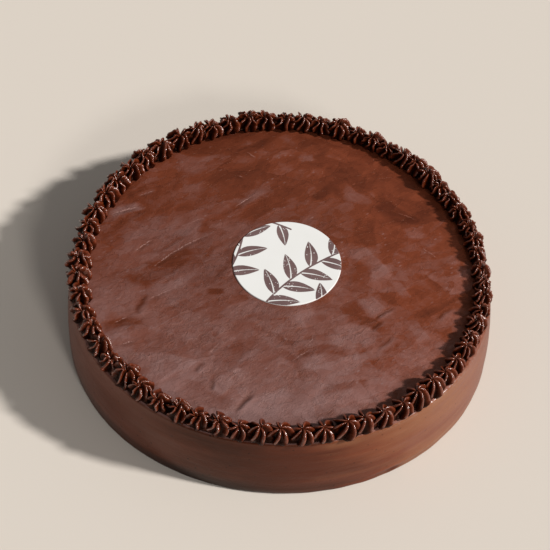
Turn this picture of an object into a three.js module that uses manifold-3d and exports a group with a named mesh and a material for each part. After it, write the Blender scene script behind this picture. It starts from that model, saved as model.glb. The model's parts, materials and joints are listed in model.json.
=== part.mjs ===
// A round sachertorte, 257 mm across: an uncut chocolate cake under a smooth coat of ganache,
// a border of piped ganache stars round its top edge, and a thin white chocolate disc laid
// near the middle of the top. Millimetres, +Z up, the origin in the middle of the flat base.
import * as THREE from "three";
import { mergeVertices } from "three/addons/utils/BufferGeometryUtils.js";
import Module from "manifold-3d";

const wasm = await Module();
wasm.setup();

// Driving dimensions, in millimetres and degrees.
const CAKE_RADIUS = 128.5; // at the widest part of the side, just above the base
const CAKE_HEIGHT = 46; // base to the flat top, without the border
const TOP_RADIUS = 125.9; // where the side meets the rounded top edge
const TOP_EDGE_ROUND = 2.2;
const SIDE_BULGE = 0.9; // how far the middle of the side swells beyond a straight slope
const BASE_TUCK = 1.0; // the ganache is pressed in a little at the very bottom
const CAKE_SEGMENTS = 120;

const OVAL = 1.0; // hand-made unevenness: how far the outline leaves a circle as an oval
const OVAL_DIRECTION = -69;
const THREE_SIDED = 1.6; // and as a soft three-cornered shape
const THREE_SIDED_DIRECTION = -26;

const STAR_COUNT = 63;
const STAR_WIDTH = 13.8; // across the lobes, from the middle of the cake outwards
const STAR_WIDTH_ALONG = 15.1; // the same, along the border
const STAR_HEIGHT = 9.2;
const STAR_LOBES = 6;
// The stars grow and shrink along the border. Each mark gives the number of a star, its
// direction and its size, and the stars between two marks are spread evenly.
const BORDER_MARKS = [
  [0, 2.5, 0.86],
  [10, 57.5, 0.97],
  [22, 124.5, 1.09],
  [31, 181.5, 1.14],
  [36, 213, 1],
  [41, 244, 1.02],
  [49, 289.5, 1.07],
  [53, 311.5, 1.04],
  [56, 328, 0.92],
  [STAR_COUNT, 362.5, 0.86],
];
// Single stars that were piped with more pressure.
const LARGE_STARS = { 4: 1.1, 7: 1.14, 13: 1.06, 17: 1.1, 22: 1.08, 38: 1.18, 49: 1.1, 53: 1.12 };
const BORDER_RADIUS = 120.3; // middle of the row of stars, on the round outline
const BORDER_FOLLOWS = 0.65; // share of the cake's unevenness that the row of stars follows
const SEAT_WIDTH = 5; // the joined feet of the stars, hidden between them
const SEAT_HEIGHT = 4.4;
const SEAT_POINTS = 64;

const DISC_RADIUS = 32.6;
const DISC_THICKNESS = 1;
const DISC_CENTRE = [3.7, 5.8]; // laid by hand, a little off the middle
const DISC_SEGMENTS = 72;

const GAP = 0.3; // between pieces that rest on each other

const radians = THREE.MathUtils.degToRad;

// A number from 0 to 1 that is always the same for one star and one use.
function chance(star, use) {
  const wave = Math.sin(star * 127.1 + use * 311.7) * 43758.5453;
  return wave - Math.floor(wave);
}

// How many times further out the cake's outline lies than a true circle, in one direction.
function outline(angle) {
  const oval = OVAL * Math.cos(2 * (angle - radians(OVAL_DIRECTION)));
  const corners = THREE_SIDED * Math.cos(3 * (angle - radians(THREE_SIDED_DIRECTION)));
  return 1 + (oval + corners) / CAKE_RADIUS;
}

// Turns a lathe shape upright, with its axis along Z.
function upright(geometry) {
  return geometry.rotateX(Math.PI / 2);
}

// Moves every vertex of a geometry by a function of its place.
function reshape(geometry, move) {
  const position = geometry.getAttribute("position");
  const point = new THREE.Vector3();
  for (let i = 0; i < position.count; i++) {
    point.fromBufferAttribute(position, i);
    move(point);
    position.setXYZ(i, point.x, point.y, point.z);
  }
  geometry.computeVertexNormals();
  return geometry;
}

// The closed solid of a geometry, for joining.
function solidOf(geometry) {
  const bare = geometry.clone();
  bare.deleteAttribute("normal");
  bare.deleteAttribute("uv");
  const merged = mergeVertices(bare, 1e-4);
  return new wasm.Manifold(
    new wasm.Mesh({
      numProp: 3,
      vertProperties: merged.getAttribute("position").array,
      triVerts: new Uint32Array(merged.index.array),
    }),
  );
}

// A joined solid as a geometry again.
function geometryOf(solid) {
  const mesh = solid.getMesh();
  const geometry = new THREE.BufferGeometry();
  geometry.setAttribute("position", new THREE.BufferAttribute(mesh.vertProperties, 3));
  geometry.setIndex(new THREE.BufferAttribute(mesh.triVerts, 1));
  geometry.computeVertexNormals();
  return geometry;
}

function namedMesh(name, geometry, material) {
  const mesh = new THREE.Mesh(geometry, material);
  mesh.name = name;
  return mesh;
}

// The cake with its ganache coat: a low drum with a near-straight side.
function cakeGeometry() {
  const profile = [
    new THREE.Vector2(0, 0),
    new THREE.Vector2(CAKE_RADIUS - BASE_TUCK, 0),
    new THREE.Vector2(CAKE_RADIUS, BASE_TUCK * 2),
    new THREE.Vector2((CAKE_RADIUS + TOP_RADIUS) / 2 + SIDE_BULGE, CAKE_HEIGHT / 2),
  ];
  const edgeSteps = 3;
  for (let i = 0; i <= edgeSteps; i++) {
    const turn = (i / edgeSteps) * (Math.PI / 2);
    const reach = TOP_RADIUS - TOP_EDGE_ROUND * (1 - Math.cos(turn));
    const height = CAKE_HEIGHT - TOP_EDGE_ROUND * (1 - Math.sin(turn));
    profile.push(new THREE.Vector2(reach, height));
  }
  profile.push(new THREE.Vector2(0, CAKE_HEIGHT));
  const drum = upright(new THREE.LatheGeometry(profile, CAKE_SEGMENTS));
  return reshape(drum, (point) => {
    const swell = outline(Math.atan2(point.y, point.x));
    point.x *= swell;
    point.y *= swell;
  });
}

// One piped star: fins round a small hollow crown, with deep grooves between them.
// Each level gives the reach of the fins, the depth of the grooves and the height, as shares.
const STAR_LEVELS = [
  { reach: 0.95, groove: 0.16, height: 0 },
  { reach: 1, groove: 0.38, height: 0.4 },
  { reach: 0.82, groove: 0.46, height: 0.84 },
  { reach: 0.4, groove: 0.5, height: 1 },
];
const CROWN_HOLLOW = 0.12; // how far the middle lies below the fins, as a share of the height

// The direction and the size of a star on the border.
function starMark(star) {
  const next = BORDER_MARKS.findIndex((mark) => mark[0] > star);
  const [from, to] = [BORDER_MARKS[next - 1], BORDER_MARKS[next]];
  const share = (star - from[0]) / (to[0] - from[0]);
  return { direction: from[1] + share * (to[1] - from[1]), size: from[2] + share * (to[2] - from[2]) };
}

function starGeometry(star) {
  const size = starMark(star).size * (LARGE_STARS[star] ?? 0.95 + 0.1 * chance(star, 1));
  const height = STAR_HEIGHT * size * (0.92 + 0.18 * chance(star, 2));
  const turned = chance(star, 3) * Math.PI;
  const twist = 0.25 + 0.35 * chance(star, 4);
  const leanX = (chance(star, 5) - 0.5) * 1.6;
  const leanY = (chance(star, 6) - 0.5) * 1.6;

  const profile = [new THREE.Vector2(0, 0)];
  for (const level of STAR_LEVELS) profile.push(new THREE.Vector2(level.reach, level.height));
  profile.push(new THREE.Vector2(0, 1 - CROWN_HOLLOW));
  const fluted = upright(new THREE.LatheGeometry(profile, 2 * STAR_LOBES));
  return reshape(fluted, (point) => {
    const level = STAR_LEVELS.find((l) => Math.abs(l.height - point.z) < 1e-3);
    const step = Math.round((Math.atan2(point.y, point.x) / Math.PI) * STAR_LOBES);
    const pinch = level && step % 2 !== 0 ? 1 - level.groove : 1;
    const angle = Math.atan2(point.y, point.x) + turned + twist * point.z;
    const reach = Math.hypot(point.x, point.y) * pinch * (size / 2);
    const lean = point.z * point.z;
    point.x = reach * STAR_WIDTH * Math.cos(angle) + leanX * lean;
    point.y = reach * STAR_WIDTH_ALONG * Math.sin(angle) + leanY * lean;
    point.z *= height;
  });
}

// How far the row of stars lies from the middle of the cake, in one direction.
function borderReach(angle) {
  return BORDER_RADIUS * (1 + BORDER_FOLLOWS * (outline(angle) - 1));
}

// A star put in its place on the border, its first axis pointing away from the middle.
function placedStar(star) {
  const wander = (chance(star, 7) - 0.5) * 0.9;
  const angle = radians(starMark(star).direction + wander);
  const sideways = (chance(star, 8) - 0.5) * 0.8;
  const radius = borderReach(angle) + sideways;
  const place = new THREE.Matrix4().makeRotationZ(angle);
  place.setPosition(radius * Math.cos(angle), radius * Math.sin(angle), 0);
  return starGeometry(star).applyMatrix4(place);
}

// The ring that the feet of the stars make together.
function seatGeometry() {
  const along = (offset) =>
    Array.from({ length: SEAT_POINTS }, (_, i) => {
      const angle = (i / SEAT_POINTS) * 2 * Math.PI;
      const reach = borderReach(angle) + offset;
      return new THREE.Vector2(reach * Math.cos(angle), reach * Math.sin(angle));
    });
  const shape = new THREE.Shape(along(SEAT_WIDTH / 2));
  shape.holes.push(new THREE.Path(along(-SEAT_WIDTH / 2)));
  return new THREE.ExtrudeGeometry(shape, { depth: SEAT_HEIGHT, bevelEnabled: false });
}

function borderGeometry() {
  let border = solidOf(seatGeometry());
  for (let star = 0; star < STAR_COUNT; star++) border = border.add(solidOf(placedStar(star)));
  return geometryOf(border);
}

function discGeometry() {
  const disc = new THREE.CylinderGeometry(DISC_RADIUS, DISC_RADIUS, DISC_THICKNESS, DISC_SEGMENTS);
  return upright(disc);
}

const ganache = new THREE.MeshStandardMaterial({ color: 0x74463a, roughness: 0.45, metalness: 0 });
const pipedGanache = new THREE.MeshStandardMaterial({ color: 0x3d1f17, roughness: 0.3, metalness: 0 });
const whiteChocolate = new THREE.MeshStandardMaterial({ color: 0xe9e6e1, roughness: 0.4, metalness: 0 });

const sachertorte = new THREE.Group();

const cake = namedMesh("cake", cakeGeometry(), ganache);
sachertorte.add(cake);

const border = namedMesh("piped_border", borderGeometry(), pipedGanache);
border.position.z = CAKE_HEIGHT + GAP;
sachertorte.add(border);

const disc = namedMesh("chocolate_disc", discGeometry(), whiteChocolate);
disc.position.set(DISC_CENTRE[0], DISC_CENTRE[1], CAKE_HEIGHT + GAP + DISC_THICKNESS / 2);
sachertorte.add(disc);

export default sachertorte;
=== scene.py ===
"""The looks of a round sachertorte: ganache worked with a spatula, a border of piped stars and a
printed white chocolate disc. Metres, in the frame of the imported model."""
import json
import math

import bpy
import numpy as np
from mathutils import Matrix, Vector

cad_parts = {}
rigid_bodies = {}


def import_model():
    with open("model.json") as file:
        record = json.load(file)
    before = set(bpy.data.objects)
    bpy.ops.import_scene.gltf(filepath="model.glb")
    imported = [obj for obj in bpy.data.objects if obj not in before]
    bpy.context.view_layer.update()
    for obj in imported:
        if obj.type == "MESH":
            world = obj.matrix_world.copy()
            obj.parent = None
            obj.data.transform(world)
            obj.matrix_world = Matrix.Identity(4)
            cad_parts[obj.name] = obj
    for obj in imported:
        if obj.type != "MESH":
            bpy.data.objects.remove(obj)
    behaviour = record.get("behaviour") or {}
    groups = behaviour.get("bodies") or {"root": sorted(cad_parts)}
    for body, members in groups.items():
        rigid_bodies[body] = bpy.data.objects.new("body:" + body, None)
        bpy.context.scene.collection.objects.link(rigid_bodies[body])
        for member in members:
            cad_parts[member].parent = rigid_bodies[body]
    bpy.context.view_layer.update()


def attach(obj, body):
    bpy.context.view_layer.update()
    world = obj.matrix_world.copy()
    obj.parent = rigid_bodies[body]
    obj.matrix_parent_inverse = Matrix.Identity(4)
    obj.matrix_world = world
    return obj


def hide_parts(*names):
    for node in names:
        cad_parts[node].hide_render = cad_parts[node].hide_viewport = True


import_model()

# ---------------------------------------------------------------- driving dimensions
# The same as the solids have. Millimetres here, and metres once a mesh is made.
MM = 0.001
CAKE_RADIUS = 128.5  # at the widest part of the side, just above the base
CAKE_HEIGHT = 46.0  # to the flat top, without the border
TOP_RADIUS = 125.9  # where the side meets the rounded top edge
TOP_EDGE_ROUND = 2.2
SIDE_BULGE = 0.9  # how far the middle of the side swells beyond a straight slope
BASE_TUCK = 1.0  # how far the coat is pressed in at the very bottom

OVAL = 1.0  # how far the outline leaves a circle as an oval
OVAL_DIRECTION = math.radians(-69)
THREE_SIDED = 1.6  # and as a soft three-cornered shape
THREE_SIDED_DIRECTION = math.radians(-26)

STAR_COUNT = 63
STAR_WIDTH = 13.8  # from the middle of the cake outwards
STAR_WIDTH_ALONG = 15.1  # along the border
STAR_HEIGHT = 9.2
# The number of a star, its direction and its size. The stars between two marks are spread evenly.
BORDER_MARKS = (
    (0, 2.5, 0.86),
    (10, 57.5, 0.97),
    (22, 124.5, 1.09),
    (31, 181.5, 1.14),
    (36, 213, 1.0),
    (41, 244, 1.02),
    (49, 289.5, 1.07),
    (53, 311.5, 1.04),
    (56, 328, 0.92),
    (STAR_COUNT, 362.5, 0.86),
)
# Single stars that were piped with more pressure.
LARGE_STARS = {4: 1.1, 7: 1.14, 13: 1.06, 17: 1.1, 22: 1.08, 38: 1.18, 49: 1.1, 53: 1.12}
BORDER_RADIUS = 120.3  # middle of the row of stars
BORDER_FOLLOWS = 0.65  # share of the cake's unevenness that the row of stars follows

DISC_RADIUS = 32.6
DISC_THICKNESS = 1.0
DISC_CENTRE = (3.7, 5.8)
GAP = 0.3  # between the solids that rest on each other


def outline(angle):
    """How many times further out the cake's outline lies than a true circle, in one direction."""
    oval = OVAL * np.cos(2 * (angle - OVAL_DIRECTION))
    corners = THREE_SIDED * np.cos(3 * (angle - THREE_SIDED_DIRECTION))
    return 1 + (oval + corners) / CAKE_RADIUS


def border_reach(angle):
    """How far the row of stars lies from the middle of the cake, in one direction."""
    return BORDER_RADIUS * (1 + BORDER_FOLLOWS * (outline(angle) - 1))


def chance(star, use):
    """A number from 0 to 1 that is always the same for one star and one use."""
    wave = math.sin(star * 127.1 + use * 311.7) * 43758.5453
    return wave - math.floor(wave)


# ---------------------------------------------------------------- helpers for shapes
def smoothstep(low, high, value):
    t = np.clip((value - low) / (high - low), 0, 1)
    return t * t * (3 - 2 * t)


def between(value, rise, fall):
    """1 between a rise and a fall, each given by where it starts and where it ends."""
    return smoothstep(*rise, value) * (1 - smoothstep(*fall, value))


def hump(value):
    """1 where a value is 0, falling smoothly to nothing at about 2 either way."""
    return np.exp(-value * value)


def lattice(i, j, seed):
    """A random number from -1 to 1 for each corner of a square lattice."""
    wave = np.sin(i * 127.1 + j * 311.7 + seed * 74.7) * 43758.5453
    return 2 * (wave - np.floor(wave)) - 1


def bumps(x, y, seed, octaves=3, period=None):
    """Smooth noise from about -1 to 1, with one bump to a unit and finer ones on it. With a
    period, it repeats after that many units of x."""
    total = np.zeros(np.broadcast(x, y).shape)
    size = 1
    for octave in range(octaves):
        u, v = x * size, y * size - 9.1 * octave
        i, j = np.floor(u), np.floor(v)
        fu, fv = smoothstep(0, 1, u - i), smoothstep(0, 1, v - j)
        after = i + 1
        if period:
            i, after = i % (period * size), after % (period * size)
        s = seed + 31 * octave
        low = lattice(i, j, s) * (1 - fu) + lattice(after, j, s) * fu
        high = lattice(i, j + 1, s) * (1 - fu) + lattice(after, j + 1, s) * fu
        total += (low * (1 - fv) + high * fv) / size
        size *= 2
    return total / 1.5


def smooth_curve(marks, share):
    """The points at given shares of the way along a smooth curve through marks."""
    marks = np.array(marks)
    line = np.vstack([2 * marks[0] - marks[1], marks, 2 * marks[-1] - marks[-2]])
    place = share * (len(marks) - 1)
    piece = np.clip(place.astype(int), 0, len(marks) - 2)
    t = (place - piece)[:, None]
    a, b, c, d = (line[piece + step] for step in range(4))
    return b + 0.5 * t * (c - a + t * (2 * a - 5 * b + 4 * c - d + t * (3 * (b - c) + d - a)))


def stroke_frame(x, y, at, direction, bend=0.0):
    """Distances along and across a stroke, in millimetres."""
    turn = math.radians(direction)
    dx, dy = x - at[0], y - at[1]
    along = dx * math.cos(turn) + dy * math.sin(turn)
    across = -dx * math.sin(turn) + dy * math.cos(turn) + bend * along * along
    return along, across


def ring_faces(rings, around, closed=False):
    """The quads between neighbouring rings of points that close on themselves."""
    gaps = rings if closed else rings - 1
    ring, step = np.meshgrid(np.arange(gaps), np.arange(around), indexing="ij")
    after, above = (step + 1) % around, (ring + 1) % rings
    corners = [ring * around + step, ring * around + after, above * around + after, above * around + step]
    return np.stack(corners, axis=-1).reshape(-1, 4).tolist()


def fan_faces(pole, ring_start, around, turned=False):
    """The triangles between one point and a ring, facing the other way when turned."""
    faces = []
    for step in range(around):
        a, b = ring_start + step, ring_start + (step + 1) % around
        faces.append((pole, b, a) if turned else (pole, a, b))
    return faces


def skin_faces(rings, around):
    """The faces of a closed skin: rings of points, then one point for each of its two ends."""
    count = rings * around
    faces = ring_faces(rings, around)
    faces += fan_faces(count, 0, around, turned=True)
    faces += fan_faces(count + 1, count - around, around)
    return faces


def mesh_piece(name, points, faces, material=None):
    """A smooth shaded mesh object from points in millimetres."""
    mesh = bpy.data.meshes.new(name)
    mesh.from_pydata((np.asarray(points) * MM).tolist(), [], faces)
    mesh.validate()
    mesh.polygons.foreach_set("use_smooth", [True] * len(mesh.polygons))
    piece = bpy.data.objects.new(name, mesh)
    bpy.context.scene.collection.objects.link(piece)
    if material:
        mesh.materials.append(material)
    return piece


def point_values(piece, name, values):
    """Keeps one number for each point of a mesh, for its material to read."""
    attribute = piece.data.attributes.new(name, "FLOAT", "POINT")
    attribute.data.foreach_set("value", np.asarray(values, np.float32).ravel())


# ---------------------------------------------------------------- materials
class Paint:
    """A procedural material, built up node by node."""

    def __init__(self, name):
        self.material = bpy.data.materials.new(name)
        self.material.use_nodes = True
        self.nodes = self.material.node_tree.nodes
        self.links = self.material.node_tree.links
        self.shader = self.nodes["Principled BSDF"]
        self.place = self.nodes.new("ShaderNodeTexCoord").outputs["Object"]

    def join(self, source, socket):
        """Links an output to a socket, or sets the socket to a number or a colour."""
        if isinstance(source, bpy.types.NodeSocket):
            self.links.new(source, socket)
        else:
            socket.default_value = source

    def attribute(self, name):
        node = self.nodes.new("ShaderNodeAttribute")
        node.attribute_name = name
        return node.outputs["Fac"]

    def noise(self, place, scale, detail=3, roughness=0.5, distortion=0.0):
        node = self.nodes.new("ShaderNodeTexNoise")
        values = {"Vector": place, "Scale": scale, "Detail": detail, "Roughness": roughness,
                  "Distortion": distortion}
        for name, value in values.items():
            self.join(value, node.inputs[name])
        return node.outputs["Fac"]

    def cells(self, place, scale):
        """The distance to the nearest of many scattered points."""
        node = self.nodes.new("ShaderNodeTexVoronoi")
        self.join(place, node.inputs["Vector"])
        self.join(scale, node.inputs["Scale"])
        return node.outputs["Distance"]

    def vector_maths(self, operation, *values):
        node = self.nodes.new("ShaderNodeVectorMath")
        node.operation = operation
        for value, socket in zip(values, node.inputs):
            self.join(value, socket)
        return node.outputs["Value" if operation == "DOT_PRODUCT" else "Vector"]

    def facets(self, place, scale, wander):
        """Flat patches with wandering edges, each tilted its own way: the height of a point over
        the middle of its patch, and a random tone for each patch."""
        noise = self.nodes.new("ShaderNodeTexNoise")
        self.join(place, noise.inputs["Vector"])
        self.join(scale * 1.3, noise.inputs["Scale"])
        self.join(4, noise.inputs["Detail"])
        offset = self.vector_maths("SUBTRACT", noise.outputs["Color"], (0.5, 0.5, 0.5))
        bent = self.vector_maths("MULTIPLY_ADD", offset, (wander, wander, wander), place)
        patch = self.nodes.new("ShaderNodeTexVoronoi")
        self.join(bent, patch.inputs["Vector"])
        self.join(scale, patch.inputs["Scale"])
        from_middle = self.vector_maths("SUBTRACT", bent, patch.outputs["Position"])
        tilt = self.vector_maths("SUBTRACT", patch.outputs["Color"], (0.5, 0.5, 0.5))
        tone = self.nodes.new("ShaderNodeSeparateColor")
        self.join(patch.outputs["Color"], tone.inputs[0])
        return self.vector_maths("DOT_PRODUCT", from_middle, tilt), tone.outputs[0]

    def drawn_out(self, scale, direction=0.0):
        """Coordinates that draw a pattern out along a direction, across it and up, by three factors."""
        node = self.nodes.new("ShaderNodeMapping")
        node.vector_type = "TEXTURE"
        node.inputs["Rotation"].default_value = (0, 0, math.radians(direction))
        node.inputs["Scale"].default_value = scale
        self.join(self.place, node.inputs["Vector"])
        return node.outputs["Vector"]

    def remap(self, source, low, high, to_low=0.0, to_high=1.0):
        node = self.nodes.new("ShaderNodeMapRange")
        node.interpolation_type = "SMOOTHSTEP"
        values = {"Value": source, "From Min": low, "From Max": high, "To Min": to_low, "To Max": to_high}
        for name, value in values.items():
            self.join(value, node.inputs[name])
        return node.outputs["Result"]

    def maths(self, operation, *values):
        node = self.nodes.new("ShaderNodeMath")
        node.operation = operation
        for value, socket in zip(values, node.inputs):
            self.join(value, socket)
        return node.outputs[0]

    def total(self, *terms):
        """The sum of outputs, each as (output, gain) and counted from 0.5."""
        total = 0.0
        for source, gain in terms:
            offset = self.maths("SUBTRACT", source, 0.5)
            total = self.maths("MULTIPLY_ADD", offset, gain, total)
        return total

    def mix(self, share, first, second):
        """A mix of two colours, each a tuple or an output, by a share."""
        node = self.nodes.new("ShaderNodeMix")
        node.data_type = "RGBA"
        for value, socket in zip((share, first, second), (node.inputs[0], node.inputs[6], node.inputs[7])):
            self.join(value, socket)
        return node.outputs[2]

    def ramp(self, source, stops):
        """A colour for each value, smooth between stops of (value, colour)."""
        node = self.nodes.new("ShaderNodeValToRGB")
        elements = node.color_ramp.elements
        while len(elements) < len(stops):
            elements.new(1.0)
        for element, (position, colour) in zip(elements, stops):
            element.position = position
            element.color = (*colour, 1)
        self.join(source, node.inputs["Fac"])
        return node.outputs["Color"]

    def bump(self, height, distance, strength=0.5, under=None):
        node = self.nodes.new("ShaderNodeBump")
        node.inputs["Strength"].default_value = strength
        node.inputs["Distance"].default_value = distance
        self.join(height, node.inputs["Height"])
        if under:
            self.join(under, node.inputs["Normal"])
        return node.outputs["Normal"]

    def set_constants(self, values):
        """Sets sockets of the shader that are the same all over."""
        for name, value in values.items():
            self.shader.inputs[name].default_value = value

    def finish(self, colour, roughness, normal, ior):
        self.join(colour, self.shader.inputs["Base Color"])
        self.join(roughness, self.shader.inputs["Roughness"])
        self.join(normal, self.shader.inputs["Normal"])
        self.shader.inputs["IOR"].default_value = ior
        return self.material


STREAKS_LEFT = 38  # direction of the spatula over the left half of the top, in degrees
STREAKS_RIGHT = -32
# From bare ganache to ganache under a thick haze, which stands partly for painted sheen.
GANACHE_COLOURS = (
    (0.0, (0.075, 0.0165, 0.0074)),
    (0.3, (0.141, 0.0332, 0.0146)),
    (0.9, (0.238, 0.1320, 0.1220)),
)
# Painted light: the tan of the side where the key light falls full on it.
LIT_SIDE_COLOUR = (0.180, 0.0810, 0.0440, 1)
SCRATCH_COLOUR = (0.42, 0.26, 0.22, 1)
SIDE_TINT = (1.06, 0.96, 0.82)
GANACHE_GLOSS = {
    "Coat Roughness": 0.2,
    "Coat IOR": 1.6,
    "Specular IOR Level": 0.32,
    "Specular Tint": (1, 0.68, 0.52, 1),
}


def scratch_line(paint, grain):
    """The raised scratches as thin pale lines with wandering edges, and the painted shadow beside them."""
    near = paint.attribute("scratch")
    wander = paint.noise(paint.place, 420, 2)
    across = paint.maths("MULTIPLY_ADD", wander, 1.6, paint.attribute("across_scratch"))
    line = paint.remap(paint.maths("ABSOLUTE", paint.maths("SUBTRACT", across, 0.8)), 0.12, 0.5, 1, 0)
    line = paint.maths("MULTIPLY", paint.maths("MULTIPLY", line, near), paint.remap(grain, 0.38, 0.6, 0.1, 1))
    below = paint.maths("MULTIPLY", paint.remap(across, -2.2, -0.6), paint.remap(across, 0.1, 0.6, 1, 0))
    return line, paint.maths("MULTIPLY", below, near)


def ganache_material():
    """Set ganache: red-brown and half glossy, with a pinkish grey haze, partly painted sheen, where it was
    worked, and painted light and shade.
    """
    paint = Paint("ganache")
    bloom_and_sheen = paint.attribute("bloom_and_sheen")
    worked = paint.attribute("worked")
    painted_light_and_tone = paint.attribute("painted_light_and_tone")
    leathery = paint.attribute("leathery")

    broad = paint.noise(paint.place, 34, 4, 0.6, 0.9)
    left = paint.noise(paint.drawn_out((2.2, 1, 1), STREAKS_LEFT), 95, 5, 0.62, 1.1)
    right = paint.noise(paint.drawn_out((1.7, 1, 1), STREAKS_RIGHT), 80, 5, 0.6, 1.8)
    streaks = paint.mix(paint.remap(painted_light_and_tone, 0.9, 1.25), left, right)
    bands = paint.noise(paint.drawn_out((9, 9, 1)), 260, 4, 0.6, 0.3)
    leather = paint.noise(paint.drawn_out((1.5, 1, 1), STREAKS_LEFT), 330, 5, 0.68, 0.8)
    grain = paint.noise(paint.place, 900, 3, 0.6)
    large, large_tone = paint.facets(paint.drawn_out((2.0, 1, 1), STREAKS_LEFT - 8), 75, 0.011)
    small, small_tone = paint.facets(paint.drawn_out((1.7, 1, 1), STREAKS_LEFT - 20), 190, 0.005)

    scratches = paint.noise(paint.drawn_out((8, 1, 1), STREAKS_LEFT + 4), 260, 2, 0.5, 1.2)
    scratched = paint.maths("MULTIPLY", worked, paint.remap(scratches, 0.7, 0.78))
    rare = paint.remap(paint.noise(paint.place, 90, 2), 0.52, 0.62)
    fleck = paint.remap(paint.cells(paint.drawn_out((2, 1, 1), STREAKS_LEFT), 330), 0.1, 0.22, 1, 0)
    flecked = paint.maths("MULTIPLY", paint.maths("MULTIPLY", fleck, rare), worked)
    somewhere = paint.maths("MULTIPLY", leathery, paint.remap(broad, 0.35, 0.65, 0.4, 1.2))
    texture = paint.maths("MULTIPLY", paint.maths("SUBTRACT", leather, 0.5), somewhere)

    line, scratch_painted_shadow = scratch_line(paint, grain)
    on_top = paint.total((broad, 0.4), (streaks, 0.42), (large_tone, 0.22), (small_tone, 0.17))
    on_top = paint.maths("MULTIPLY_ADD", texture, 0.8, on_top)
    on_side = paint.total((broad, 0.35), (bands, 0.16), (grain, 0.12), (leather, 0.12))
    haze_and_sheen = paint.maths("ADD", bloom_and_sheen, paint.mix(worked, on_side, on_top))
    for source, gain in ((scratched, 0.25), (flecked, 0.4), (line, 0.6)):
        haze_and_sheen = paint.maths("MULTIPLY_ADD", source, gain, haze_and_sheen)

    colour = paint.ramp(paint.maths("MULTIPLY_ADD", haze_and_sheen, 0.6, 0.3), GANACHE_COLOURS)
    # Painted light: the side turns tan where its painted light is strongest.
    off_top = paint.maths("SUBTRACT", 0.75, worked)
    lit_side_share = paint.maths("MULTIPLY", paint.remap(painted_light_and_tone, 1.0, 1.3), off_top)
    colour = paint.mix(lit_side_share, colour, LIT_SIDE_COLOUR)
    colour = paint.mix(worked, paint.vector_maths("MULTIPLY", colour, SIDE_TINT), colour)
    colour = paint.mix(paint.maths("MULTIPLY", line, 0.25), colour, SCRATCH_COLOUR)
    side_tone = paint.total((bands, 0.2), (leather, 0.12))
    top_tone = paint.total((streaks, 0.3), (large_tone, 0.1))
    tone = paint.mix(worked, side_tone, top_tone)
    specks = paint.remap(paint.cells(paint.place, 170), 0.07, 0.13, 1, 0)
    specks = paint.maths("MULTIPLY", specks, paint.maths("SUBTRACT", 1.0, worked))
    # Painted light and shade scale the colour here: the top's and side's painted light, the painted shadow
    # beside scratches and a painted highlight on them.
    light = paint.maths("MULTIPLY_ADD", specks, -0.45, paint.maths("ADD", painted_light_and_tone, tone))
    light = paint.maths("MULTIPLY_ADD", line, 0.3, paint.maths("MULTIPLY_ADD", scratch_painted_shadow, -0.25, light))
    colour = paint.vector_maths("MULTIPLY", colour, light)
    roughness = paint.remap(haze_and_sheen, -0.2, 1.0, 0.36, 0.52)

    tilted = paint.maths("MULTIPLY", paint.maths("MULTIPLY_ADD", small, 0.6, large), worked)
    faceted = paint.bump(tilted, 0.13, 1.0)
    relief = paint.mix(worked, paint.maths("MULTIPLY", bands, 0.25), paint.maths("MULTIPLY", streaks, 0.7))
    smooth = paint.bump(relief, 0.001, 0.5, faceted)
    rough = paint.bump(texture, 0.0009, 0.8, smooth)
    lined = paint.bump(paint.maths("ADD", scratches, line), 0.0003, 0.3, rough)
    glossy = paint.remap(paint.noise(paint.place, 420, 3), 0.44, 0.54)
    paint.join(paint.maths("MULTIPLY", paint.attribute("rim"), glossy), paint.shader.inputs["Coat Weight"])
    paint.set_constants(GANACHE_GLOSS)
    return paint.finish(colour, roughness, paint.bump(grain, 0.00015, 0.4, lined), 1.45)


# Painted shade: from near black in the grooves to lighter on the crests.
PIPED_COLOURS = (
    (0.2, (0.012, 0.0018, 0.0005)),
    (0.55, (0.032, 0.0051, 0.0014)),
    (0.85, (0.092, 0.0150, 0.0040)),
    (1.0, (0.155, 0.0300, 0.0095)),
)
PIPED_GLOSS = {
    "Specular IOR Level": 0.08,
    "Specular Tint": (1, 0.62, 0.48, 1),
    "Coat Roughness": 0.22,
    "Coat IOR": 1.8,
}


def piped_material():
    """Piped ganache: darker and glossier, with painted shade from the crests down into the grooves and at the
    feet, and grainy where the crests are torn.
    """
    paint = Paint("piped_ganache")
    crest = paint.attribute("crest")
    torn = paint.attribute("torn")
    patches = paint.noise(paint.place, 260, 3, 0.6, 0.5)
    grain = paint.noise(paint.place, 800, 3, 0.6)
    pits = paint.noise(paint.place, 2300, 2)

    height = paint.maths("ADD", crest, paint.total((patches, 0.4), (grain, 0.5)))
    colour = paint.ramp(height, PIPED_COLOURS)
    glossy = paint.maths("MULTIPLY", paint.remap(crest, 0.78, 1.0), paint.remap(patches, 0.36, 0.56, 0.5, 1))
    paint.join(glossy, paint.shader.inputs["Coat Weight"])
    paint.set_constants(PIPED_GLOSS)

    rough = paint.bump(paint.maths("MULTIPLY", grain, torn), 0.0008, 0.5)
    lumpy = paint.bump(patches, 0.0012, 0.4, rough)
    normal = paint.bump(pits, 0.0001, 0.2, lumpy)
    paint.join(normal, paint.shader.inputs["Coat Normal"])
    return paint.finish(colour, paint.remap(grain, 0.3, 0.7, 0.28, 0.42), normal, 1.65)


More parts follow.
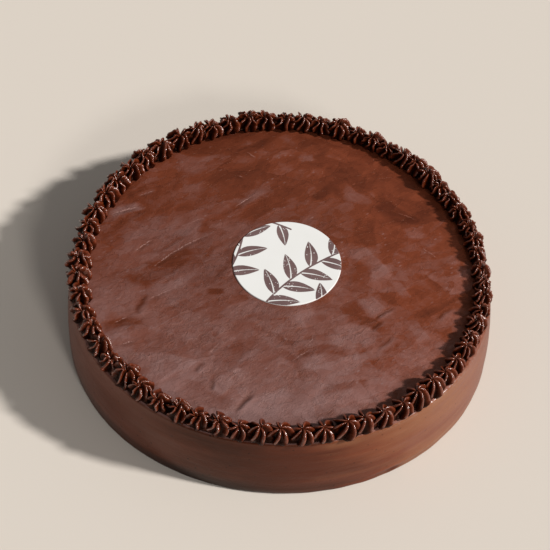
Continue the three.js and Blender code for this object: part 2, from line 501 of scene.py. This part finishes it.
def disc_material():
    """White chocolate with a plum-brown print, its edges sharp and small pinholes in it."""
    paint = Paint("white_chocolate")
    ink_depth = paint.attribute("ink_depth")
    wobble = paint.noise(paint.place, 700, 2)
    cloud = paint.noise(paint.place, 60, 3)
    rare = paint.remap(paint.noise(paint.place, 240, 2), 0.5, 0.58)
    fleck = paint.remap(paint.cells(paint.place, 700), 0.14, 0.26, 1, 0)

    depth = paint.maths("ADD", ink_depth, paint.total((wobble, 0.22)))
    solid = paint.maths("SUBTRACT", 1.0, paint.maths("MULTIPLY", fleck, rare))
    inked = paint.maths("MULTIPLY", paint.remap(depth, -0.1, 0.14), solid)
    white = paint.mix(cloud, (0.83, 0.825, 0.80, 1), (0.88, 0.875, 0.86, 1))
    ink = paint.mix(paint.remap(cloud, 0.3, 0.7), (0.140, 0.082, 0.080, 1), (0.190, 0.118, 0.115, 1))
    roughness = paint.remap(cloud, 0.3, 0.7, 0.32, 0.42)
    return paint.finish(paint.mix(inked, white, ink), roughness, paint.bump(wobble, 0.0001, 0.15), 1.46)


# ---------------------------------------------------------------- the cake under its ganache
AROUND = 600  # points round the cake
TOP_RINGS = 118
SIDE_RINGS = 30
TOP_EDGE_STEPS = 8
BASE_EDGE_STEPS = 5
BASE_RINGS = (0.25, 0.5, 0.75, 0.93, 0.985)  # how far out they lie, as shares of the foot
PRESSED_UP = 0.5  # how far the coat rises round the disc laid on it
RANDOM_STROKES = 260
STROKES_REACH = 118  # how far from the middle of the top they are spread
STROKES_SEED = 7
NO_SCRATCH = 3.0  # a distance across where no scratch is near

# Strokes of the spatula that stand out: x, y, direction in degrees, half length, half width,
# rise in the middle, tilt across and haze, which stands partly for painted sheen.
MARKED_STROKES = (
    (-71, -4, 37, 24, 6, -0.16, 0.25, -0.28),
    (-62, 14, 43, 26, 4, 0.2, 0.4, 0.2),
    (-20, 58, 43, 12, 3, 0.16, 0.3, 0.3),
    (-13, 50, 40, 16, 6, -0.12, 0.1, -0.25),
    (-97, 43, 24, 13, 3.5, 0.16, 0.3, 0.65),
    (-85, 57, 30, 8, 2.5, 0.12, 0.2, 0.3),
    (-54, 83, 4, 15, 8, 0.05, 0.1, 0.32),
    (-92, -45, 20, 14, 3.5, -0.2, 0.1, -0.45),
    (-95, -26, 12, 17, 12, 0.1, -0.1, 0.12),
    (-38, -18, 4, 6, 2.5, -0.1, 0.1, -0.5),
    (-30, -86, 62, 9, 5, 0.2, 0.2, 0.35),
    (-32, -97, -14, 12, 6, 0.05, 0.1, -0.3),
    (13, 93, 4, 6, 2.5, 0.1, 0.1, 0.25),
    (33, 98, -20, 9, 5, 0.08, 0.1, 0.35),
    (45, 61, -38, 16, 5, 0.16, 0.3, 0.35),
    (68, 50, -38, 17, 7, -0.16, -0.1, -0.3),
    (79, 37, 4, 9, 7, 0.1, 0.1, 0.3),
    (54, -23, -50, 8, 6, 0.14, 0.1, 0.4),
    (51, -35, -16, 12, 4, -0.1, 0.1, -0.35),
    (26, -57, 9, 17, 4, -0.12, 0.1, -0.35),
    (82, -41, -60, 8, 4, 0.14, 0.2, 0.4),
    (64, -50, 45, 9, 4, 0.1, 0.3, 0.2),
    (59, -74, -33, 12, 4, 0.16, 0.3, 0.25),
    (-60, -60, -6, 20, 7, 0.05, 0.1, -0.15),
)
# Short creases where the spatula was lifted: x, y, direction, half length, half width, depth.
CREASES = (
    (-18, -97, 56, 10, 1.5, 0.8),
    (-81, -30, 72, 9, 1.6, 0.35),
    (-44, -74, 61, 5, 1.2, 0.4),
    (62, -28, 42, 9, 1.1, 0.45),
    (58, -38, 42, 6, 1.0, 0.35),
    (97, -26, 38, 8, 1.2, 0.45),
    (63, -50, 46, 8, 1.0, 0.3),
    (-36, -86, 80, 5, 1.1, 0.35),
)
# Thin raised scratches, paler than the rest and brightened by a painted highlight, with a painted shadow
# beside them: x, y, direction, half length and strength.
SCRATCHES = (
    (-62, 13, 42, 25, 0.9),
    (-97, 42, 24, 10, 1.0),
    (-83, 15, 45, 8, 0.8),
    (-85, 57, 28, 6, 0.8),
    (-52, 37, 28, 5, 0.5),
    (-25, 54, 45, 7.5, 1.0),
    (-22, 94, -38, 4, 0.8),
    (-28, 75, -17, 3, 0.7),
    (-70, -22, 33, 9, 0.6),
    (-92, -43, 35, 5, 0.9),
    (-86, -59, 22, 5, 0.9),
    (-36, -60, 57, 6, 0.4),
    (14, -62, 41, 8, 0.7),
    (20, -50, 75, 7, 0.4),
    (76, 49, -24, 7, 0.5),
    (90, 20, -40, 7, 0.5),
    (62, -27, 38, 9, 0.4),
)


def random_strokes(rng):
    """Strokes all over the top, from lower left to upper right on the left and crossing on the right."""
    for _ in range(RANDOM_STROKES):
        reach = STROKES_REACH * math.sqrt(rng.random())
        angle = rng.random() * 2 * math.pi
        x, y = reach * math.cos(angle), reach * math.sin(angle)
        crossing = float(smoothstep(-10, 60, x))
        turned = rng.random() < 0.5 * crossing
        direction = (STREAKS_RIGHT if turned else STREAKS_LEFT) + rng.normal(0, 12 + 24 * crossing)
        length = 25 - 7 * crossing
        half_length, half_width = rng.uniform(8, length), rng.uniform(3, 8.5)
        rise, tilt, tone = rng.uniform(-0.13, 0.13), rng.normal(0, 0.3), rng.normal(0, 0.16)
        yield x, y, direction, half_length, half_width, rise, tilt, tone


def top_finish(x, y):
    """The relief of the top, its haze and its shade, as the spatula left them, with painted shade in the
    creases.
    """
    rng = np.random.default_rng(STROKES_SEED)
    relief = 0.2 * bumps(x / 38, y / 38, 3)
    haze_and_sheen = 0.12 * bumps(x / 30, y / 30, 4)
    shade = np.zeros(x.shape)
    ragged = 0.16 * bumps(x / 7, y / 7, 5, 2)
    for stroke in (*random_strokes(rng), *MARKED_STROKES):
        cx, cy, direction, half_length, half_width, rise, tilt, tone = stroke
        bend, side = rng.normal(0, 0.01), rng.choice((-1, 1))
        along, across = stroke_frame(x, y, (cx, cy), direction, bend)
        u, v = np.abs(along) / half_length + ragged, side * across / half_width + ragged
        inside = (1 - smoothstep(0.5, 1.1, u)) * (1 - smoothstep(0.8, 1.02, v)) * smoothstep(-1.2, -0.4, v)
        relief += 0.8 * inside * (rise + 0.35 * tilt * v - relief)
        lip = hump((v - 1.0) / 0.2) * (1 - smoothstep(0.3, 0.9, u)) * smoothstep(-0.06, 0.1, ragged)
        relief += 0.1 * lip
        haze_and_sheen += 0.75 * inside * (tone - haze_and_sheen) + 0.08 * lip
        shade += 0.75 * inside * (0.4 * min(tone, 0) - shade)
    for cx, cy, direction, half_length, half_width, depth in CREASES:
        along, across = stroke_frame(x, y, (cx, cy), direction, 0.01)
        across = (across + 1.2 * bumps(x / 5, y / 5, 9, 2)) / half_width
        middle = 1 - smoothstep(0.4, 1, np.abs(along) / half_length)
        groove, edge = middle * hump(across), middle * hump(across + 1.8)
        relief += depth * (0.5 * edge - groove)
        # Painted shade darkens the crease grooves.
        haze_and_sheen += 0.2 * edge - 0.25 * groove
        shade += -0.35 * groove
    relief += 0.05 * bumps(x / 6, y / 6, 21, 2)
    return relief, haze_and_sheen, shade


def scratch_marks(x, y):
    """How far a point lies across the nearest scratch, and how strong that scratch is there."""
    nearest, strongest = np.full(x.shape, NO_SCRATCH), np.zeros(x.shape)
    for cx, cy, direction, half_length, strength in SCRATCHES:
        along, across = stroke_frame(x, y, (cx, cy), direction, 0.004)
        here = strength * (1 - smoothstep(0.4, 1, np.abs(along) / half_length))
        here = here * (1 - smoothstep(2.4, 3.4, np.abs(across)))
        nearest = np.where(here > strongest, across, nearest)
        strongest = np.maximum(strongest, here)
    return nearest, strongest


def top_haze_and_sheen(x, y):
    """The haze of the whole top, partly bloom and partly painted sheen: strong near the front, little at the
    back and the right.
    """
    lower_right = smoothstep(20, 90, x) * smoothstep(-20, 60, -y)
    back_right = smoothstep(20, 90, x) * smoothstep(0, 60, y)
    right, front = smoothstep(0, 90, x), smoothstep(60, 110, -y)
    return 0.25 - 0.5 * y / CAKE_RADIUS + 0.14 * front - 0.1 * right - 0.32 * lower_right - 0.18 * back_right


def top_painted_light(x, y):
    """Painted light and shade on the top: paler to the right and at the back, darker left of the middle."""
    dark = hump(np.hypot((x + 55) / 42, (y - 8) / 34))
    back = smoothstep(20, 100, y) * smoothstep(-30, 40, x)
    return 1.01 + 0.29 * smoothstep(0, 85, x) - 0.11 * dark + 0.16 * back


def top_leather(x, y):
    """How leathery the surface came out: most at the front left, least at the back."""
    return np.clip(0.75 - 0.5 * y / CAKE_RADIUS - 0.25 * x / CAKE_RADIUS, 0.25, 1.2)


BACK_DIRECTION = 80  # the middle of the back of the side, in degrees
BACK_HALF_WIDTH = 75


def side_finish(angle, z):
    """The relief of the side, its haze with painted sheen, and its painted light and shade: swells, level
    scrapes, a rough foot, light on the front right and shade at the front and the foot.
    """
    def noise(along, up, seed):
        """Noise that closes on itself, by the length and height of its bumps in millimetres."""
        around = round(2 * math.pi * CAKE_RADIUS / along)
        return bumps(angle / (2 * math.pi) * around, z / up, seed, period=around)

    swell = 0.35 * noise(50, 30, 41) + 0.05 * noise(40, 1.8, 43) + 0.06 * noise(9, 6, 44)
    foot = hump(z / 2.5) * 0.18 * noise(9, 9, 47)
    relief = smoothstep(0.3, 4, z) * swell + foot

    degrees = np.degrees(angle) % 360
    ridge_reach = between(degrees, (294, 300), (320, 328))
    ridge_height = 5.5 + 0.06 * (degrees - 297) + 0.5 * noise(12, 60, 48)
    ridge = ridge_reach * hump((z - ridge_height) / 0.9)
    scraped = ridge_reach * smoothstep(0.2, 1.0, ridge_height - z)
    nick = hump((degrees - 303) / 1.6) * hump((z - 3.2) / 1.3)
    relief += 0.35 * ridge - 0.2 * scraped - 0.7 * nick

    # Painted sheen: strong on the lit front right and at the left, little at the front.
    lit = hump((degrees - 322) / 24)
    haze_and_sheen = -0.22 + 0.5 * lit + 0.6 * hump((degrees - 210) / 40) - 0.42 * hump((degrees - 274) / 22)
    haze_and_sheen += 0.16 * hump((degrees - 336) / 14) * smoothstep(14, 28, z)
    at_back = hump(np.abs((degrees - BACK_DIRECTION + 180) % 360 - 180) / BACK_HALF_WIDTH)
    haze_and_sheen += 0.5 * at_back
    haze_and_sheen += 0.14 * noise(60, 14, 51) + 0.1 * noise(45, 2.2, 53) + 0.2 * noise(38, 8, 56)
    # Painted shade along the foot at the front left, and less haze at the very foot.
    low_band = between(degrees, (200, 212), (275, 290))
    haze_and_sheen -= 0.4 * low_band * (1 - smoothstep(4, 10, z))
    haze_and_sheen += 0.3 * ridge - 0.35 * scraped - 0.8 * nick - 0.25 * hump(z / 1.2)
    relief += 0.2 * glossy_rim(angle, z)

    # Painted light on the front right; painted shade at the front, in the nick and at the very foot.
    painted_light_and_tone = 0.95 + 0.28 * hump((degrees - 314) / 25) - 0.3 * nick - 0.2 * hump(z / 0.9)
    painted_light_and_tone -= 0.47 * hump((degrees - 250) / 19) + 0.18 * hump((degrees - 222) / 14)
    painted_light_and_tone -= 0.13 * hump((degrees - 310) / 12) * hump((z - 22) / 9)
    painted_light_and_tone -= 0.15 * at_back
    # Painted shade along the foot, except at the lit front right.
    painted_light_and_tone -= 0.15 * (1 - smoothstep(3, 9, z)) * hump((degrees - 268) / 14)
    dark_foot = between(degrees, (20, 80), (285, 310))
    painted_light_and_tone -= 0.27 * (1 - smoothstep(5, 12, z)) * dark_foot
    painted_light_and_tone += 0.03 * hump((degrees - 337) / 10) + 0.06 * hump((degrees - 282) / 8)
    painted_light_and_tone += 0.09 * noise(60, 14, 52) + 0.07 * noise(35, 2.5, 54) + 0.05 * noise(14, 7, 57)
    return relief, haze_and_sheen, painted_light_and_tone


def glossy_rim(angle, z):
    """Where the top edge of the coat came out sharp and glossy, at the front right."""
    degrees = np.degrees(angle) % 360
    return between(degrees, (292, 304), (334, 344)) * hump((z - CAKE_HEIGHT + 1.2) / 0.9)


def cake_profile():
    """Reach and height of each ring, from the middle of the base, round the side, to the top."""
    foot = CAKE_RADIUS - BASE_TUCK
    profile = [(share * foot, 0.0) for share in BASE_RINGS]
    for step in range(1, BASE_EDGE_STEPS + 1):
        turn = step / BASE_EDGE_STEPS * math.pi / 2
        reach = CAKE_RADIUS - BASE_TUCK * (1 - math.sin(turn))
        profile.append((reach, 2 * BASE_TUCK * (1 - math.cos(turn))))
    low, high = 2 * BASE_TUCK, CAKE_HEIGHT - TOP_EDGE_ROUND
    for step in range(1, SIDE_RINGS):
        share = step / SIDE_RINGS
        swell = SIDE_BULGE * 4 * share * (1 - share)
        reach = CAKE_RADIUS + (TOP_RADIUS - CAKE_RADIUS) * share + swell
        profile.append((reach, low + (high - low) * share))
    for step in range(TOP_EDGE_STEPS + 1):
        turn = step / TOP_EDGE_STEPS * math.pi / 2
        reach = TOP_RADIUS - TOP_EDGE_ROUND * (1 - math.cos(turn))
        profile.append((reach, CAKE_HEIGHT - TOP_EDGE_ROUND * (1 - math.sin(turn))))
    last = TOP_RADIUS - TOP_EDGE_ROUND
    profile += [(last * (1 - step / TOP_RINGS), CAKE_HEIGHT) for step in range(1, TOP_RINGS)]
    return np.array(profile)


def cake_piece(material):
    profile = cake_profile()
    angle = np.arange(AROUND) / AROUND * 2 * math.pi
    reach = profile[:, :1] * outline(angle)
    x, y = reach * np.cos(angle), reach * np.sin(angle)
    z = np.repeat(profile[:, 1:], AROUND, axis=1)

    top_relief, top_tone, top_shade = top_finish(x, y)
    side_relief, side_tone, side_light = side_finish(angle * np.ones_like(z), z)
    on_top = smoothstep(CAKE_HEIGHT - 1.2, CAKE_HEIGHT - 0.1, z)
    on_side = (profile[:, :1] > 0.97 * CAKE_RADIUS) * (1 - smoothstep(CAKE_HEIGHT - 3, CAKE_HEIGHT, z))
    near_disc = np.hypot(x - DISC_CENTRE[0], y - DISC_CENTRE[1])
    calm = smoothstep(DISC_RADIUS - 2, DISC_RADIUS + 5, near_disc)
    pressed_up = PRESSED_UP * (1 - smoothstep(DISC_RADIUS + 1, DISC_RADIUS + 6, near_disc))
    grow = 1 + on_side * side_relief / CAKE_RADIUS
    points = np.stack([
        x * grow,
        y * grow,
        z + on_top * (top_relief * (0.1 + 0.9 * calm) + pressed_up),
    ], axis=-1).reshape(-1, 3)
    tone = on_top * (top_haze_and_sheen(x, y) + top_tone) + (1 - on_top) * side_tone
    light = on_top * (top_painted_light(x, y) + top_shade) + (1 - on_top) * side_light
    across_scratch, scratch = scratch_marks(x, y)

    points = np.vstack([points, [0, 0, 0], [0, 0, points[-AROUND:, 2].mean()]])
    piece = mesh_piece("ganache_coat", points, skin_faces(len(profile), AROUND), material)
    # What the material reads: on the rings, and in the middle of the base and of the top.
    values = {
        "bloom_and_sheen": (tone, 0, tone[-1].mean()),
        "worked": (on_top, 0, 1),
        "painted_light_and_tone": (light, 1, 1),
        "leathery": (on_top * top_leather(x, y), 0, 0.7),
        "across_scratch": (across_scratch, NO_SCRATCH, NO_SCRATCH),
        "scratch": (on_top * scratch, 0, 0),
        "rim": (glossy_rim(angle, z), 0, 0),
    }
    for name, (on_rings, at_base, at_top) in values.items():
        point_values(piece, name, np.append(on_rings.ravel(), [at_base, at_top]))
    return piece


# ---------------------------------------------------------------- the piped border
STAR_LEVELS = 22  # rings of points from the foot of a star over to its middle
STAR_SINK = 0.7  # how far the foot of a star is pressed into the coat
# The outlines of a fin and of the groove beside it, from the foot up and over to the middle:
# reach and height, as shares of the star's.
FIN = (
    (0.84, 0), (0.96, 0.1), (1.03, 0.23), (1.03, 0.38), (0.96, 0.55), (0.84, 0.71),
    (0.68, 0.85), (0.49, 0.95), (0.3, 0.99), (0.13, 0.97), (0.03, 0.9),
)
GROOVE = (
    (0.68, 0), (0.52, 0.08), (0.42, 0.2), (0.37, 0.34), (0.33, 0.47), (0.28, 0.58),
    (0.23, 0.66), (0.17, 0.73), (0.12, 0.77), (0.07, 0.79), (0.02, 0.8),
)
CROWN_HEIGHT = 0.82  # of the middle of a star, as a share of its height
CROWN_HOLLOW = 0.28  # how much lower it lies in a ragged star, as a share of that
PLUMP_DIRECTION = 188  # where the fins came out thickest, in degrees
SMOOTH_DIRECTION = 296  # where the stars of the border came out smoothest, in degrees


def fin_crests(off_crest, half_thickness):
    """1 along the crest of each fin and 0 in the middle of each groove."""
    crest = 1 / (1 + np.abs(off_crest / half_thickness) ** 3)
    valley = crest.min(axis=1, keepdims=True)
    return (crest - valley) / (1 - valley)


def star_points(star):
    """The points of a star, what its material reads at each, and how many lie round it. It has
    thin fins, deep grooves and a swirl to its crown, and a ragged one more fins, ruffled and torn."""
    direction, mark_size = star_mark(star)
    size = mark_size * LARGE_STARS.get(star, 0.95 + 0.1 * chance(star, 1))
    height = STAR_HEIGHT * size * (0.92 + 0.18 * chance(star, 2))
    turned = chance(star, 3) * math.pi
    twist = 0.25 + 0.35 * chance(star, 4)
    ragged = float(smoothstep(26, 48, abs(direction - SMOOTH_DIRECTION)))
    lean_x = (chance(star, 5) - 0.5) * (1.6 + 1.2 * ragged)
    lean_y = (chance(star, 6) - 0.5) * (1.6 + 1.2 * ragged)
    swirl = (chance(star, 9) - 0.3) * (0.9 + 0.5 * ragged)
    waves = 8 + 7 * chance(star, 10)
    plump = float(hump((direction - PLUMP_DIRECTION) / 26))
    fins, steps = (7, 9) if max(plump, 1 - ragged) > 0.5 else (8, 8)

    share = np.linspace(0, 1, STAR_LEVELS)
    fin, groove = smooth_curve(FIN, share), smooth_curve(GROOVE, share)
    level = share[:, None]
    step = np.arange(fins * steps)
    lobe = (step + steps // 2) // steps % fins
    off = 2 * ((step + steps // 2) % steps / steps) - 1  # 0 on the fin, 1 or -1 in the grooves
    off_fin = 0.5 * (0.4 * off + 0.6 * off ** 3)  # points lie closer on the fin
    lobe_arc = 2 * math.pi / fins
    off_crest = off_fin * lobe_arc * fin[:, :1] * size * STAR_WIDTH / 2
    half_thickness = (1.8 - 0.45 * ragged + 0.7 * plump) * (1 - 0.4 * smoothstep(0.4, 0.9, level))
    each, other, third = (lattice(lobe, star * np.ones_like(lobe), seed) for seed in (61, 62, 63))
    crest = fin_crests(off_crest, half_thickness * (1 + 0.2 * third))

    high = smoothstep(0.05, 0.3, level) * (1 - smoothstep(0.8, 1.0, level))
    reach = groove[:, :1] + (fin[:, :1] - groove[:, :1]) * crest
    rise = groove[:, 1:] + (fin[:, 1:] - groove[:, 1:]) * crest
    torn = bumps(lobe * 3.7 + 40 * star, level * 14 + 0.3 * off, 71, 2) * crest * high
    reach = reach * (1 + (0.1 + 0.04 * ragged) * each * high + (0.01 + 0.08 * ragged) * torn)
    rise = rise * (1 + (0.1 + 0.06 * ragged) * other * smoothstep(0.2, 0.6, level) * crest)
    sway = (0.2 + 0.75 * ragged) * np.sin(level * waves + third * 3 + star) * high + 0.7 * other * high
    out = reach * size / 2

    turn = (lobe + off_fin) * lobe_arc + turned + twist * rise + swirl * level ** 3 + 0.2 * plump * level ** 2
    turn = turn + sway * crest / (out * STAR_WIDTH + 1)
    x = out * STAR_WIDTH * np.cos(turn) + lean_x * rise ** 2
    y = out * STAR_WIDTH_ALONG * np.sin(turn) + lean_y * rise ** 2
    hollow = CROWN_HOLLOW * ragged * (1 - smoothstep(0.05, 0.42, fin[:, :1]))
    z = rise * (1 - hollow) * height + (0.05 + 0.6 * ragged) * torn
    z[0] = -STAR_SINK
    points = np.stack([x, y, z], axis=-1).reshape(-1, 3)
    crown = [lean_x, lean_y, height * CROWN_HEIGHT * (1 - CROWN_HOLLOW * ragged)]
    values = {
        # The crest value falls toward the feet, darkening them as painted shade and taking some of their
        # gloss.
        "crest": np.append((crest * (0.5 + 0.5 * smoothstep(0.05, 0.35, level))).ravel(), [0, 0.4]),
        "torn": np.append((ragged * np.ones_like(crest)).ravel(), [ragged, ragged]),
    }
    return np.vstack([points, [0, 0, -STAR_SINK], crown]), values, fins * steps


def star_mark(star):
    """The direction and the size of a star on the border."""
    numbers, directions, sizes = zip(*BORDER_MARKS)
    return np.interp(star, numbers, directions), np.interp(star, numbers, sizes)


def placed(points, star):
    """The points of a star in its place on the border, its first axis pointing outwards."""
    wander = (chance(star, 7) - 0.5) * 0.9
    angle = math.radians(star_mark(star)[0] + wander)
    radius = border_reach(angle) + (chance(star, 8) - 0.5) * 0.8
    c, s = math.cos(angle), math.sin(angle)
    x, y = points[:, 0] + radius, points[:, 1]
    return np.stack([x * c - y * s, x * s + y * c, points[:, 2] + CAKE_HEIGHT + GAP], axis=-1)


def star_piece(star):
    points, values, around = star_points(star)
    piece = mesh_piece(f"star_{star}", placed(points, star), skin_faces(STAR_LEVELS, around))
    for name, value in values.items():
        point_values(piece, name, value)
    return piece


FOOT_HALF_WIDTH = 4.0  # of the low dome that the feet of the stars make together
FOOT_HEIGHT = 2.2


def seat_piece():
    """The feet of the stars, run together into a low rounded ring."""
    around, across = 256, 12
    angle = np.arange(around) / around * 2 * math.pi
    turn = np.linspace(0, math.pi, across)[:, None]
    reach = border_reach(angle) + FOOT_HALF_WIDTH * np.cos(turn)
    height = (FOOT_HEIGHT + STAR_SINK) * np.sin(turn) - STAR_SINK + CAKE_HEIGHT + GAP
    rows = [reach * np.cos(angle), reach * np.sin(angle), height * np.ones_like(reach)]
    faces = ring_faces(across, around, closed=True)
    return mesh_piece("border", np.stack(rows, -1).reshape(-1, 3), faces)


def border_piece(material):
    """All stars and their seat, joined into one skin."""
    stars = bpy.data.collections.new("stars")
    bpy.context.scene.collection.children.link(stars)
    for star in range(STAR_COUNT):
        piece = star_piece(star)
        bpy.context.scene.collection.objects.unlink(piece)
        stars.objects.link(piece)
    border = seat_piece()
    # The seat reads as the bottom of a groove: its darkest colour is painted shade between the stars.
    for name in ("crest", "torn"):
        point_values(border, name, np.zeros(len(border.data.vertices)))
    join = border.modifiers.new("join", "BOOLEAN")
    join.operation = "UNION"
    join.operand_type = "COLLECTION"
    join.collection = stars
    join.solver = "MANIFOLD"
    graph = bpy.context.evaluated_depsgraph_get()
    joined = bpy.data.meshes.new_from_object(border.evaluated_get(graph))
    border.modifiers.clear()
    border.data = joined
    for piece in list(stars.objects):
        bpy.data.objects.remove(piece)
    bpy.data.collections.remove(stars)
    joined.materials.clear()
    joined.materials.append(material)
    joined.polygons.foreach_set("use_smooth", [True] * len(joined.polygons))
    joined.update()
    border.name = "piped_stars"
    return border


# ---------------------------------------------------------------- the printed disc
DISC_AROUND = 420
DISC_RINGS = 100
DISC_EDGE_ROUND = 0.35
DISC_EDGE_STEPS = 5
DISC_SINK = 0.25  # how far the disc reaches below its solid, into the coat
STEM_HALF_WIDTH = 0.62
VEIN_HALF_WIDTH = 0.42
LEAF_HALF_WIDTH = 0.21  # as a share of its length
LEAF_LEAN = 42  # between a leaf and its stem, in degrees
# Sprigs of the print, in millimetres from the middle of the disc: start of the stem, its
# direction in degrees, its length, how much it curves, from leaf to leaf, the length of the
# leaves, the place of the first and the side it is on.
SPRIGS = (
    (-36, -12, 64, 52, -0.006, 7.4, 19, 2, 1),
    (-13, -34, 60, 60, 0.0045, 7.4, 19.5, 4, 1),
    (19, -34, 42, 40, 0.012, 7.2, 18, 2.5, -1),
    (-16, 33, -14, 19, 0.006, 7.4, 17, 3, -1),
)


def leaf_depth(x, y, at, direction, length, bend):
    """How deep a point lies inside a leaf, in millimetres, and less than 0 outside."""
    along, across = stroke_frame(x, y, at, direction, bend)
    share = np.clip(along / length, 0, 1)
    half_width = LEAF_HALF_WIDTH * length * np.sin(math.pi * share ** 0.8) ** 0.85
    vein = np.abs(across) - VEIN_HALF_WIDTH * (1 - 0.8 * share)
    inside = np.minimum(half_width - np.abs(across), vein)
    return np.minimum(inside, np.minimum(along, length - along))


def sprig_depth(x, y, sprig):
    """How deep a point lies inside a sprig: its stem, and leaves on alternate sides of it."""
    start_x, start_y, direction, length, curve, step, leaf_length, first, side = sprig
    along, across = stroke_frame(x, y, (start_x, start_y), direction, curve)
    depth = np.minimum(STEM_HALF_WIDTH - np.abs(across), np.minimum(along, length - along))
    turn = math.radians(direction)
    for on_stem in np.arange(first, length - 2, step):
        side = -side
        sag = -curve * on_stem ** 2
        at = (
            start_x + on_stem * math.cos(turn) - sag * math.sin(turn),
            start_y + on_stem * math.sin(turn) + sag * math.cos(turn),
        )
        lean = math.degrees(math.atan(-2 * curve * on_stem))
        leaf = leaf_depth(x, y, at, direction + lean + LEAF_LEAN * side, leaf_length, -0.012 * side)
        depth = np.maximum(depth, leaf)
    return depth


def disc_profile(low, high):
    """Reach and height of each ring, from the middle of the underside to the middle of the face."""
    edge = DISC_EDGE_ROUND
    flat = DISC_RADIUS - edge
    profile = [(DISC_RADIUS * 0.5, low), (flat, low)]
    for middle, start in ((low + edge, -math.pi / 2), (high - edge, 0)):
        for step in range(1, DISC_EDGE_STEPS + 1):
            turn = start + step / DISC_EDGE_STEPS * math.pi / 2
            profile.append((flat + edge * math.cos(turn), middle + edge * math.sin(turn)))
    profile += [(flat * (1 - step / DISC_RINGS), high) for step in range(1, DISC_RINGS)]
    return np.array(profile)


def disc_piece(material):
    """The disc, with a fine even mesh on its face that carries the print."""
    angle = np.arange(DISC_AROUND) / DISC_AROUND * 2 * math.pi
    wander = 1 + 0.0018 * bumps(angle / (2 * math.pi) * 12, 0.5 * np.ones_like(angle), 81, 2, period=12)
    low, high = -DISC_SINK, DISC_THICKNESS
    profile = disc_profile(low, high)
    reach, z = profile.T
    x = reach[:, None] * np.cos(angle) * wander
    y = reach[:, None] * np.sin(angle) * wander
    z = z[:, None] * np.ones_like(x)
    depth = np.max([sprig_depth(x, y, sprig) for sprig in SPRIGS], axis=0)
    depth = np.where(z > high - 0.2, depth, -1.0)
    base = CAKE_HEIGHT + GAP
    points = np.stack([x + DISC_CENTRE[0], y + DISC_CENTRE[1], z + base], -1).reshape(-1, 3)
    points = np.vstack([points, [*DISC_CENTRE, low + base], [*DISC_CENTRE, high + base]])
    piece = mesh_piece("printed_disc", points, skin_faces(len(profile), DISC_AROUND), material)
    point_values(piece, "ink_depth", np.append(depth.ravel(), [-1, depth[-1].mean()]))
    return piece


# ---------------------------------------------------------------- floor, light and camera
FLOOR_HALF_WIDTH = 3.0  # metres
FLOOR_LOOK = {"Base Color": (0.71, 0.645, 0.575, 1), "Roughness": 0.75}


def floor_piece():
    paint = Paint("pale_floor")
    paint.set_constants(FLOOR_LOOK)
    mesh = bpy.data.meshes.new("floor")
    half = FLOOR_HALF_WIDTH
    corners = [(-half, -half, 0), (half, -half, 0), (half, half, 0), (-half, half, 0)]
    mesh.from_pydata(corners, [], [(0, 1, 2, 3)])
    mesh.materials.append(paint.material)
    floor = bpy.data.objects.new("floor", mesh)
    bpy.context.scene.collection.objects.link(floor)


# Sun lights: azimuth from +X and elevation in degrees, strength, and how wide the source looks.
LIGHTS = {
    "key": (-9, 38, 3.5, 5),
    "fill": (-62, 34, 0.75, 10),
}


def lighting():
    """A key light from the right, with soft shadows, and a broad fill in an evenly lit pale room."""
    for name, (azimuth, elevation, strength, width) in LIGHTS.items():
        data = bpy.data.lights.new(name, "SUN")
        data.energy = strength
        data.color = (1, 0.98, 0.95)
        data.angle = math.radians(width)
        light = bpy.data.objects.new(name, data)
        turn, rise = math.radians(azimuth), math.radians(elevation)
        towards = Vector((math.cos(rise) * math.cos(turn), math.cos(rise) * math.sin(turn), math.sin(rise)))
        light.rotation_euler = towards.to_track_quat("Z", "Y").to_euler()
        bpy.context.scene.collection.objects.link(light)
    world = bpy.data.worlds.new("studio")
    world.use_nodes = True
    background = world.node_tree.nodes["Background"]
    background.inputs["Color"].default_value = (1, 0.99, 0.98, 1)
    background.inputs["Strength"].default_value = 0.2
    bpy.context.scene.world = world
    bpy.context.scene.view_settings.view_transform = "Standard"


CAMERA_ELEVATION = math.radians(50.5)
CAMERA_ROLL = math.radians(2.89)
CAMERA_DISTANCE = 1.111  # from the middle of the base, along the view
FOCAL_LENGTH = 117.8  # millimetres, as is the width of the sensor
SENSOR_WIDTH = 36
# Where the middle of the base lies in the picture, right of and below its middle, as a share
# of the focal length.
BASE_RIGHT = 0.00156
BASE_BELOW = 0.02422


def camera():
    forward = Vector((0, math.cos(CAMERA_ELEVATION), -math.sin(CAMERA_ELEVATION)))
    level = Vector((1, 0, 0))
    upright = level.cross(forward)
    c, s = math.cos(CAMERA_ROLL), math.sin(CAMERA_ROLL)
    right = level * c + upright * s
    up = upright * c - level * s
    data = bpy.data.cameras.new("camera")
    data.lens = FOCAL_LENGTH
    data.sensor_width = SENSOR_WIDTH
    data.clip_start = 0.05
    viewer = bpy.data.objects.new("camera", data)
    place = -(forward + right * BASE_RIGHT - up * BASE_BELOW) * CAMERA_DISTANCE
    turned = Matrix((right, up, -forward)).transposed().to_4x4()
    viewer.matrix_world = Matrix.Translation(place) @ turned
    bpy.context.scene.collection.objects.link(viewer)
    bpy.context.scene.camera = viewer


# ---------------------------------------------------------------- the scene
camera()
lighting()
floor_piece()

for piece, node, slot in (
    (cake_piece(ganache_material()), "cake", "ganache"),
    (border_piece(piped_material()), "piped_border", "piped_ganache"),
    (disc_piece(disc_material()), "chocolate_disc", "white_chocolate"),
):
    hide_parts(node)
    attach(piece, "root")
